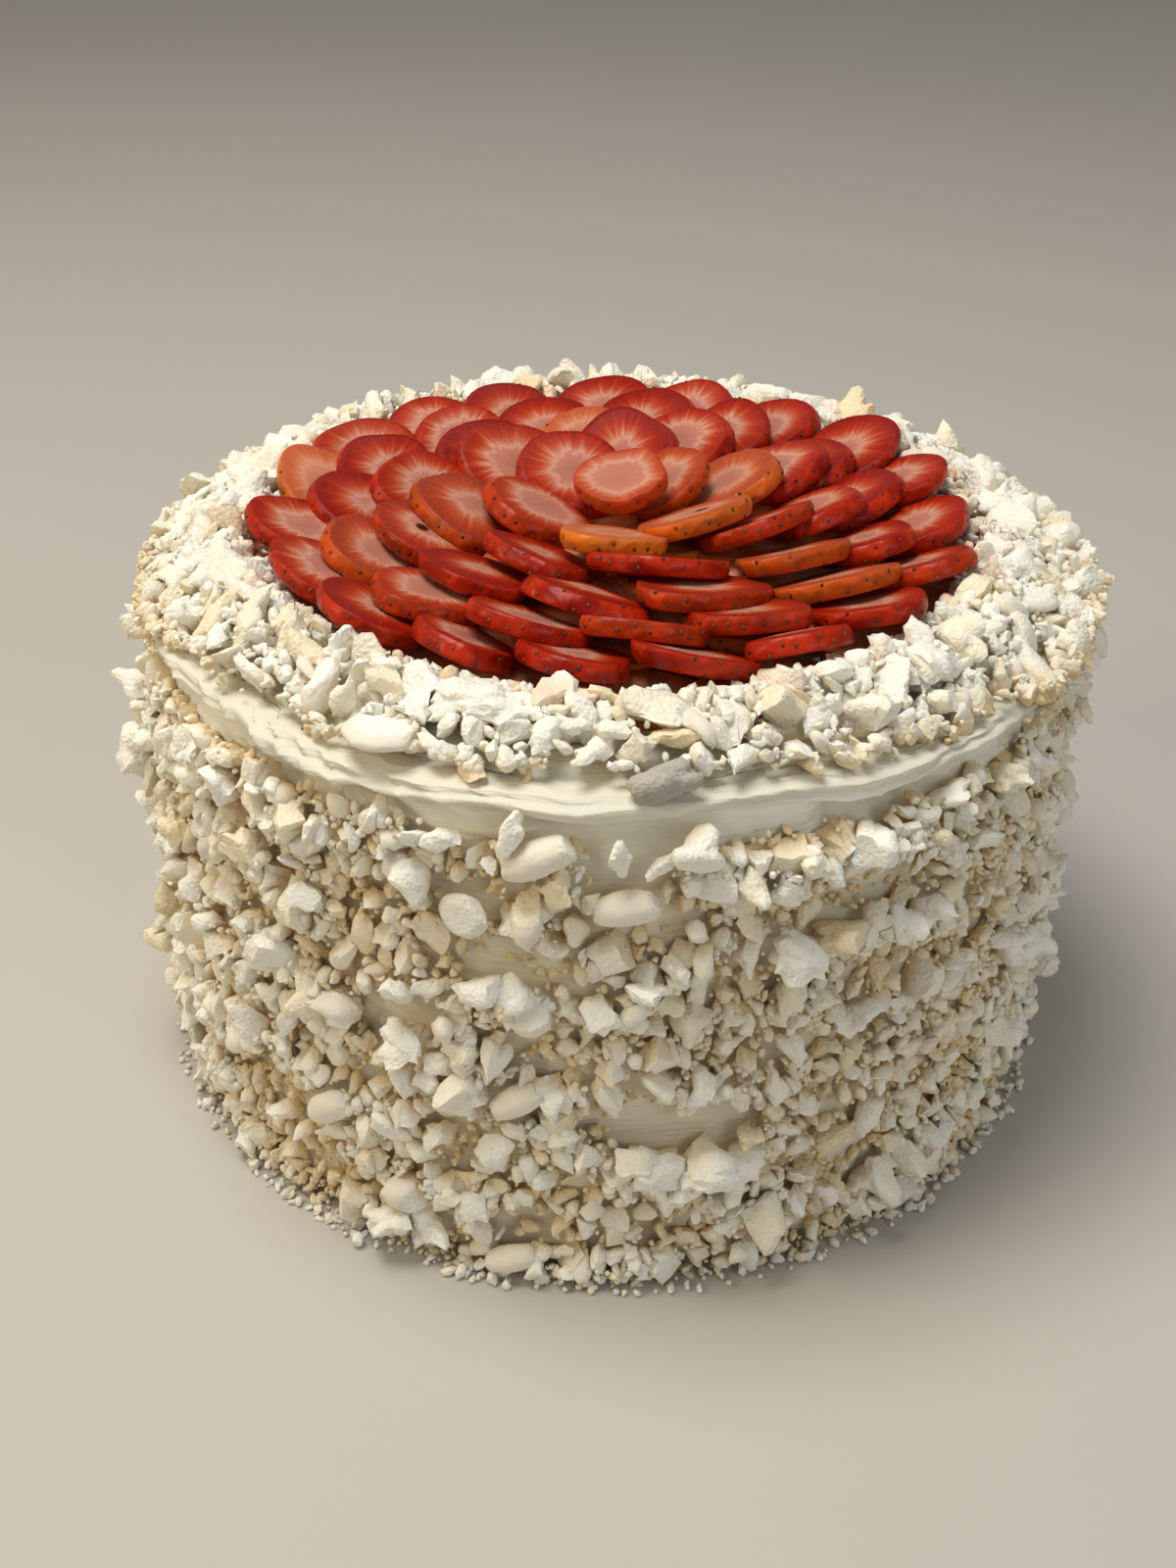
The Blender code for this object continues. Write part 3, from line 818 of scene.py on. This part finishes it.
# The skirt of crumbs that fell to the foot
for strewn, kind, count in ((crumbs_side, CRUMB_SIZE, 520), (grains_side, GRAIN_SIZE, 700)):
    for size in sizes_of(kind, count):
        shape = strewn.drawn()
        azimuth = rng.uniform(-math.pi, math.pi)
        radius = FOOT_RADIUS + FOOT_WIDTH * rng.random() ** 1.6
        place = Vector((radius * math.cos(azimuth), radius * math.sin(azimuth), size * shape.half_height))
        strewn.add(shape, loose_matrix(place, Vector((0.0, 0.0, 1.0)), size, 1.0, 0.2), above_side)
for strewn, angle in zip(side_kinds, SHARP_ANGLES):
    strewn.made(meringue, angle)

top_kinds = strewn_kinds("top", crust_shapes[3:])
shards_top, lumps_top, pebbles_top, crumbs_top, grains_top = top_kinds

# The bits on top that catch the eye: azimuth, radius, size, kind, turn, stain and tone
TOP_BITS = (
    (-107.5, 0.0868, 0.0180, "plate", 0, 0.0, 0.2),
    (-102.5, 0.0880, 0.0190, "plate", 50, 0.0, 0.1),
    (-105.5, 0.0930, 0.0120, "knot", 100, 0.0, 0.3),
    (-100.5, 0.0925, 0.0110, "knot", 20, 0.0, 0.2),
    (-87.6, 0.0815, 0.0130, "tube", 10, 0.3, 0.1),
    (-74.7, 0.0832, 0.0160, "tube", -8, 0.0, 0.1),
    (-91.8, 0.0957, 0.0140, "knot", 60, 0.0, 0.2),
    (-75.5, 0.0985, 0.0110, "knot", 40, 0.0, 0.1),
    (-84.2, 0.1030, 0.0140, "stick", 12, 0.0, 2.0),
    (-96.6, 0.0815, 0.0100, "knot", 80, 1.0, 0.3),
    (-82.7, 0.0935, 0.0115, "knot", 10, 0.0, 0.9),
    (-115.5, 0.0985, 0.0160, "disc", 0, 0.0, 0.1),
    (-32.7, 0.0870, 0.0160, "tube", -20, 0.0, 0.1),
    (-20.0, 0.0930, 0.0140, "disc", 20, 0.0, 0.1),
)
for azimuth, radius, size, kind, turn, stain, tone in TOP_BITS:
    shapes = bit_shapes[kind]
    shape = shapes[rng.randrange(len(shapes))]
    up = 0.75 * heap_room(radius)
    azimuth = math.radians(azimuth)
    turn = math.radians(turn)
    drop_on_top(lumps_top, shape, azimuth, radius, up, size, 0.85, 0.15, stain, turn, tone)
heap_top(shards_top, HEAP_SHARD_SIZE, count=110, tries=12, lean=0.6, poke=0.60)
heap_top(lumps_top, HEAP_LUMP_SIZE, count=360, tries=10, lean=0.9, poke=0.50)
heap_top(pebbles_top, PEBBLE_SIZE, count=1100, tries=9, lean=1.0, poke=0.40)
heap_top(crumbs_top, CRUMB_SIZE, count=2400, tries=7, lean=1.0, poke=0.30)
heap_top(grains_top, GRAIN_SIZE, count=1600, tries=4, lean=0.7, poke=0.2)
for strewn, angle in zip(top_kinds, SHARP_ANGLES):
    strewn.made(meringue, angle)

# Strawberry slices. Ripe strawberries are cut across, about four millimetres thick, and laid in overlapping
# rings from the outside inwards, outer edge up. Each keeps its skin and seeds round the rim.
SLICE_STEPS = 96
SLICE_WALL = 0.0041
FACE_RINGS = (0.20, 0.42, 0.62, 0.78, 0.90)
RIM_LEVELS = (-0.42, -0.21, 0.0, 0.21, 0.42)
RIM_START = 0.985
SEED_GAP = 0.0040
SEED_SIZE = (0.0005, 0.0008, 0.0011)  # into the skin, along the rim and up it
SEED_SUNK = 0.00030
DIMPLE_DEPTH = 0.00045
DIMPLE_WIDTH = 0.0009
OVERLAP = 1.13  # of the slice's width over its share of the ring
ROLL = math.radians(8.0)  # one side of a slice lies on its neighbour

profile = [(0.02, -0.5), *[(ring, -0.5) for ring in FACE_RINGS], (RIM_START, -0.49)]
profile += [(1.0, level) for level in RIM_LEVELS]
profile += [(RIM_START, 0.49), *[(ring, 0.5) for ring in reversed(FACE_RINGS)], (0.02, 0.5)]
slice_pattern = turned("slice_pattern", profile, SLICE_STEPS)
nothing_selected()
bpy.ops.mesh.primitive_ico_sphere_add(subdivisions=2, radius=1.0)
seed_pattern = read_and_removed(bpy.context.object, [0.0] * 42)
pattern_points = np.array([vert.co[:] for vert in slice_pattern.data.vertices])

paint = Paint(
    "strawberry",
    Subsurface_Weight=0.2,
    Subsurface_Scale=0.003,
    Subsurface_Radius=(1.0, 0.25, 0.15),
    Specular_IOR_Level=0.12,
    Coat_Weight=0.14,
    Coat_Roughness=0.28,
)
spot = paint.node("ShaderNodeUVMap", {"uv_map": "slice"})
skin = paint.attribute("skin")
ripeness = paint.attribute("ripeness")
berry = paint.attribute("berry")
orange = paint.attribute("orange")
hollow = paint.attribute("hollow")
whole = paint.scaled((1.0, 1.0, 1.0))
dimples = paint.node("ShaderNodeTexVoronoi", None, {"Vector": whole, "Scale": 420.0}, "Distance")
reach = paint.vector_math("LENGTH", spot, output="Value")
heading = paint.vector_math("NORMALIZE", spot)
lift = paint.node("ShaderNodeCombineXYZ", None, {"X": 0.0, "Y": 0.0, "Z": berry * 20.0 + reach * 0.5})
ray = paint.vector_math("MULTIPLY_ADD", heading, (4.5, 4.5, 4.5), lift)
rays = paint.noise(ray, 1.6, 3.0).step(0.40, 0.68)
blotch = paint.noise(paint.scaled((140.0, 140.0, 140.0)), detail=2.0)
depth = reach + (blotch - 0.5) * 0.16 - rays * 0.15 + (ripeness - 0.42) * 0.36
flesh = paint.node(
    "ShaderNodeValToRGB",
    {
        "stops": (
            (0.00, tint(190, 122, 102)),
            (0.28, tint(193, 124, 104)),
            (0.36, tint(210, 154, 132)),
            (0.50, tint(192, 104, 76)),
            (0.64, tint(178, 56, 22)),
            (0.80, tint(160, 32, 5)),
            (1.00, tint(136, 18, 2)),
        )
    },
    {"Fac": depth},
)
flesh = paint.mixed(orange * 0.45, flesh, tint(222, 138, 84))
# A slice with a hollow core gets a dark spot painted where the hole is: painted shade for a hole that is
# not cut into the mesh.
hole_gap = paint.vector_math("DISTANCE", spot, (0.16, 0.05, 0.0), output="Value")
flesh = paint.mixed(hollow * (0.16 - hole_gap).step(0.0, 0.07), flesh, tint(70, 16, 8))
rind = paint.mixed(blotch.step(0.35, 0.7), tint(184, 44, 10), tint(134, 18, 4))
rind = paint.mixed(orange, rind, tint(216, 118, 32))
fibres = paint.noise(ray, 9.0, 2.0)
skin_edge = skin.step(0.3, 0.8)
strawberry = paint.finish(
    Base_Color=paint.mixed(skin_edge, flesh, rind),
    Roughness=0.42 - 0.10 * skin_edge,
    Normal=paint.bump(fibres * (1.0 - skin_edge) + blotch * 0.4 + dimples * skin_edge, 0.0007, 0.5),
)
paint = Paint("seeds", Roughness=0.45)
seed_tone = paint.noise(paint.scaled((90.0, 90.0, 90.0)))
seeds = paint.finish(Base_Color=paint.mixed(seed_tone.step(0.35, 0.65), tint(62, 18, 8), tint(124, 62, 22)))


def slice_frame(node):
    """Where a solid slice lies: its middle, and its size along three axes, outwards, sideways and up."""
    points = np.array([vert.co[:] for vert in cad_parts[node].data.vertices])
    middle = 0.5 * (points.min(0) + points.max(0))
    axes = np.linalg.svd(points - points.mean(0))[2]
    up = axes[2] * (1.0 if axes[2][2] > 0.0 else -1.0)
    outward = np.array([middle[0], middle[1], 0.0])
    outward -= up * outward.dot(up)
    outward /= np.linalg.norm(outward)
    sideways = np.cross(up, outward)
    extents = [np.ptp(points @ axis) for axis in (outward, sideways)]
    return middle, (outward, sideways, up), extents


def berry_slice(name, middle, axes, extents, colours, roll=ROLL, wall=SLICE_WALL):
    """A slice of a strawberry: a copy of the pattern with its own outline, taper, dimples and seeds. The
    colours are its ripeness, how orange it is and whether it has a hollow."""
    outward, sideways, up = axes
    roll *= rng.uniform(0.4, 1.7)
    tilted_sideways = sideways * math.cos(roll) - up * math.sin(roll)
    tilted_up = up * math.cos(roll) + sideways * math.sin(roll)
    turn = np.array((outward, tilted_sideways, tilted_up))
    half_long = 0.5 * extents[0] * rng.uniform(0.98, 1.10)
    half_wide = 0.5 * extents[1] * OVERLAP * rng.uniform(0.92, 1.10)
    swell = [rng.uniform(-1.0, 1.0) for _ in range(8)]
    tip = rng.uniform(0.05, 0.24) * (rng.random() < 0.5)
    tip_angle = rng.gauss(0.0, 0.7)
    taper = rng.uniform(-0.14, 0.14)
    cup = rng.uniform(-0.0006, 0.0010)

    def outline(angle):
        wave = sum(
            size * (swell[2 * k] * np.cos((k + 2) * angle) + swell[2 * k + 1] * np.sin((k + 2) * angle))
            for k, size in enumerate((0.055, 0.050, 0.018, 0.010))
        )
        point = (angle - tip_angle + math.pi) % (2.0 * math.pi) - math.pi
        return 1.0 + wave + tip * (np.exp(-((point / 0.45) ** 2)) - 0.35)

    def on_slice(radius, angle, level):
        bulge = 1.0 + taper * level - 0.05 * (2.0 * level) ** 2
        scale = radius * outline(angle) * (1.0 + (bulge - 1.0) * radius)
        x = half_long * scale * np.cos(angle)
        y = half_wide * scale * np.sin(angle)
        z = level * wall + cup * (radius**2 - 0.5)
        return np.stack([x, y, z], -1)

    radius = np.hypot(pattern_points[:, 0], pattern_points[:, 1])
    angle = np.arctan2(pattern_points[:, 1], pattern_points[:, 0])
    points = on_slice(radius, angle, pattern_points[:, 2])
    rim_length = math.pi * (half_long + half_wide)
    seed_count = round(rim_length / SEED_GAP)
    seed_points, seed_faces = [], []
    start = len(points)
    for number in range(seed_count):
        seed_angle = 2.0 * math.pi * (number + rng.uniform(-0.45, 0.45)) / seed_count
        seed_level = (0.20 if number % 2 else -0.20) + rng.uniform(-0.20, 0.20)
        spot = on_slice(np.array(1.0), np.array(seed_angle), np.array(seed_level))
        gap = np.linalg.norm(points - spot, axis=1)
        inward = -spot * np.array((1.0, 1.0, 0.0))
        inward /= np.linalg.norm(inward)
        points += np.outer(DIMPLE_DEPTH * np.exp(-((gap / DIMPLE_WIDTH) ** 2)), inward)
        along = np.cross((0.0, 0.0, 1.0), inward)
        size = rng.uniform(0.8, 1.1)
        local = seed_pattern.points * np.array(SEED_SIZE) * size
        placed = spot + inward * SEED_SUNK + local @ np.array((inward, along, (0.0, 0.0, 1.0)))
        seed_points.append(placed)
        seed_faces.append(seed_pattern.triangles + start)
        start += len(placed)
    all_points = np.concatenate([points, *seed_points]) @ turn + middle
    mesh = bpy.data.meshes.new(name)
    quads = [tuple(face.vertices) for face in slice_pattern.data.polygons]
    triangles = [tuple(map(int, face)) for faces in seed_faces for face in faces]
    mesh.from_pydata(all_points, [], quads + triangles)
    mesh.polygons.foreach_set("use_smooth", np.ones(len(mesh.polygons), bool))
    mesh.polygons.foreach_set("material_index", np.array([0] * len(quads) + [1] * len(triangles), np.int32))
    on_rim = np.zeros(len(all_points), np.float32)
    on_rim[: len(points)] = radius > RIM_START
    marks = {"skin": on_rim}
    for label, value in zip(("ripeness", "orange", "hollow", "berry"), (*colours, rng.random())):
        marks[label] = np.full(len(all_points), value, np.float32)
    for label, values in marks.items():
        mesh.attributes.new(label, "FLOAT", "POINT").data.foreach_set("value", values)
    flat = np.zeros((len(all_points), 2), np.float32)
    flat[: len(points)] = pattern_points[:, :2]
    corners = np.zeros(len(mesh.loops), np.int32)
    mesh.loops.foreach_get("vertex_index", corners)
    mesh.uv_layers.new(name="slice").data.foreach_set("uv", flat[corners].ravel())
    mesh.materials.append(strawberry)
    mesh.materials.append(seeds)
    petal = bpy.data.objects.new(name, mesh)
    bpy.context.scene.collection.objects.link(petal)
    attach(petal, "root")
    return petal


def nudged(middle, axes, extents):
    """Where a hand lays the slice: a little out of line and askew."""
    outward, sideways, up = axes
    nod = math.radians(rng.gauss(0.0, 3.5))
    turn = math.radians(rng.gauss(0.0, 5.0))
    new_outward = outward * math.cos(nod) + up * math.sin(nod)
    new_up = up * math.cos(nod) - outward * math.sin(nod)
    last_outward = new_outward * math.cos(turn) + sideways * math.sin(turn)
    last_sideways = sideways * math.cos(turn) - new_outward * math.sin(turn)
    middle = middle + outward * rng.gauss(0.0, 0.0009) + sideways * rng.gauss(0.0, 0.0009)
    return middle, (last_outward, last_sideways, new_up), extents


# Ripeness, orange and hollow of the slices that stand out
ODD_SLICES = {
    "slice_centre": (-0.15, 0.25, 0.0),
    "slice_ring3_07": (0.1, 0.7, 0.0),
    "slice_ring1_15": (0.2, 0.8, 0.0),
    "slice_ring5_02": (0.4, 0.6, 1.0),
    "slice_ring5_01": (0.3, 1.0, 0.0),
    "slice_ring3_10": (0.45, 0.1, 1.0),
    "slice_ring4_07": (1.0, 0.0, 0.0),
    "slice_ring4_01": (1.0, 0.0, 0.0),
    "slice_ring3_02": (0.9, 0.1, 0.0),
    "slice_ring4_04": (0.9, 0.0, 0.0),
    "slice_ring4_03": (0.5, 0.5, 0.0),
}
for node in sorted(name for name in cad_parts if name.startswith("slice_")):
    usual = (min(1.1, max(0.0, rng.gauss(0.60, 0.24))), max(0.0, rng.gauss(-0.12, 0.22)), 0.0)
    name = node.replace("slice", "petal")
    petal = berry_slice(name, *nudged(*slice_frame(node)), ODD_SLICES.get(node, usual))
    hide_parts(node)

# Flat layers. More slices lie flat below the outer ring, each on the edge of the next, with their paler
# rims showing under it, and others lie flat on the cream under the inner rings and show in the gaps. All
# are painted pale and orange, partly as they look and partly as painted light against the shade they lie
# in.
UNDER_COUNT = 17
UNDER_RADIUS = 0.0728
UNDER_LENGTH = 0.0235
UNDER_WIDTH = 0.0275
UNDER_ROLL = math.radians(3.2)
TUCKED_HEIGHT = BED_TOP + 0.0030
TUCKED_LENGTH = 0.026
TUCKED_WIDTH = 0.028
TUCKED_ROLL = math.radians(4.0)
FLAT_WALL = 0.0030
BED_RINGS = ((0.050, 12), (0.0375, 9), (0.025, 6), (0.0125, 3))
low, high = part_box("under_layer")
under_height = 0.5 * (low.z + high.z)


def flat_slice(name, azimuth, radius, height, length, width, roll):
    outward = np.array((math.cos(azimuth), math.sin(azimuth), 0.0))
    sideways = np.array((-math.sin(azimuth), math.cos(azimuth), 0.0))
    middle = radius * outward + np.array((0.0, 0.0, height))
    axes = (outward, sideways, np.array((0.0, 0.0, 1.0)))
    # Painted light: low ripeness and much orange make these slices pale, partly their own look and partly
    # to make up for the shade they lie in.
    colours = (0.15, rng.uniform(0.6, 1.1), 0.0)
    return berry_slice(name, middle, axes, (length, width), colours, roll, FLAT_WALL)


def joined_slices(slices, name):
    nothing_selected()
    for petal in slices:
        petal.select_set(True)
    bpy.context.view_layer.objects.active = slices[0]
    bpy.ops.object.join()
    slices[0].name = name
    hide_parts("under_layer")


under = []
for index in range(UNDER_COUNT):
    azimuth = 2.0 * math.pi * index / UNDER_COUNT
    name = f"under_slice_{index + 1:02d}"
    where = (azimuth, UNDER_RADIUS, under_height)
    under.append(flat_slice(name, *where, UNDER_LENGTH, UNDER_WIDTH, UNDER_ROLL))
joined_slices(under, "under_slices")
tucked = []
for radius, count in BED_RINGS:
    for index in range(count):
        azimuth = 2.0 * math.pi * (index + rng.uniform(-0.15, 0.15)) / count
        name = f"tucked_slice_{len(tucked) + 1:02d}"
        where = (azimuth, radius, TUCKED_HEIGHT)
        tucked.append(flat_slice(name, *where, TUCKED_LENGTH, TUCKED_WIDTH, TUCKED_ROLL))
joined_slices(tucked, "tucked_slices")
bpy.data.objects.remove(slice_pattern)

# The floor is a plain pale sheet. The light is that of a bright room: a broad soft light from above, a
# warmer one from the left and a cooler one from the front right.
nothing_selected()
bpy.ops.mesh.primitive_plane_add(size=8.0, location=(0.0, 0.0, 0.0))
floor = bpy.context.object
floor.name = "floor"
floor.data.materials.append(Paint("floor", Roughness=0.7).finish(Base_Color=tint(192, 187, 179)))


def soft_light(name, place, size, power, colour):
    bpy.ops.object.light_add(type="AREA", location=place)
    light = bpy.context.object
    light.name = name
    light.data.shape = "DISK"
    light.data.size = size
    light.data.energy = power
    light.data.color = colour
    aim = Vector((0.0, 0.0, 0.08)) - Vector(place)
    light.rotation_euler = aim.to_track_quat("-Z", "Y").to_euler()


soft_light("overhead", (-0.28, -0.05, 1.28), 0.65, 12.4, (1.0, 0.98, 0.94))
soft_light("window", (-1.4, -0.5, 0.9), 0.7, 7.6, (1.0, 0.83, 0.54))
soft_light("sky", (1.1, -1.5, 0.9), 1.0, 6.5, (0.86, 0.94, 1.0))
world = bpy.data.worlds.new("room")
world.use_nodes = True
background = world.node_tree.nodes["Background"]
background.inputs["Color"].default_value = tint(205, 203, 198)
background.inputs["Strength"].default_value = 0.37
bpy.context.scene.world = world
bpy.context.scene.view_settings.view_transform = "Standard"

# The camera stands in front of the cake and looks down on it, turned and rolled a little as a camera held
# by hand is.
CAMERA_PLACE = (0.0, -0.388, 0.301)
PITCH = math.radians(31.83)
ROLL_LEFT = math.radians(0.90)
YAW = math.radians(-0.73)
FOCAL = 1897.0  # pixels
PICTURE_HEIGHT = 1600.0
SENSOR = 36.0  # millimetres, for the picture's long side
look = Vector((math.sin(YAW) * math.cos(PITCH), math.cos(YAW) * math.cos(PITCH), -math.sin(PITCH)))
right = Vector((math.cos(YAW), -math.sin(YAW), 0.0))
above = right.cross(look)
rolled_right = math.cos(ROLL_LEFT) * right + math.sin(ROLL_LEFT) * above
rolled_above = -math.sin(ROLL_LEFT) * right + math.cos(ROLL_LEFT) * above
bpy.ops.object.camera_add()
camera = bpy.context.object
axes = Matrix((rolled_right, rolled_above, -look)).transposed().to_4x4()
camera.matrix_world = Matrix.Translation(CAMERA_PLACE) @ axes
camera.data.sensor_width = SENSOR
camera.data.lens = SENSOR * FOCAL / PICTURE_HEIGHT
bpy.context.scene.camera = camera
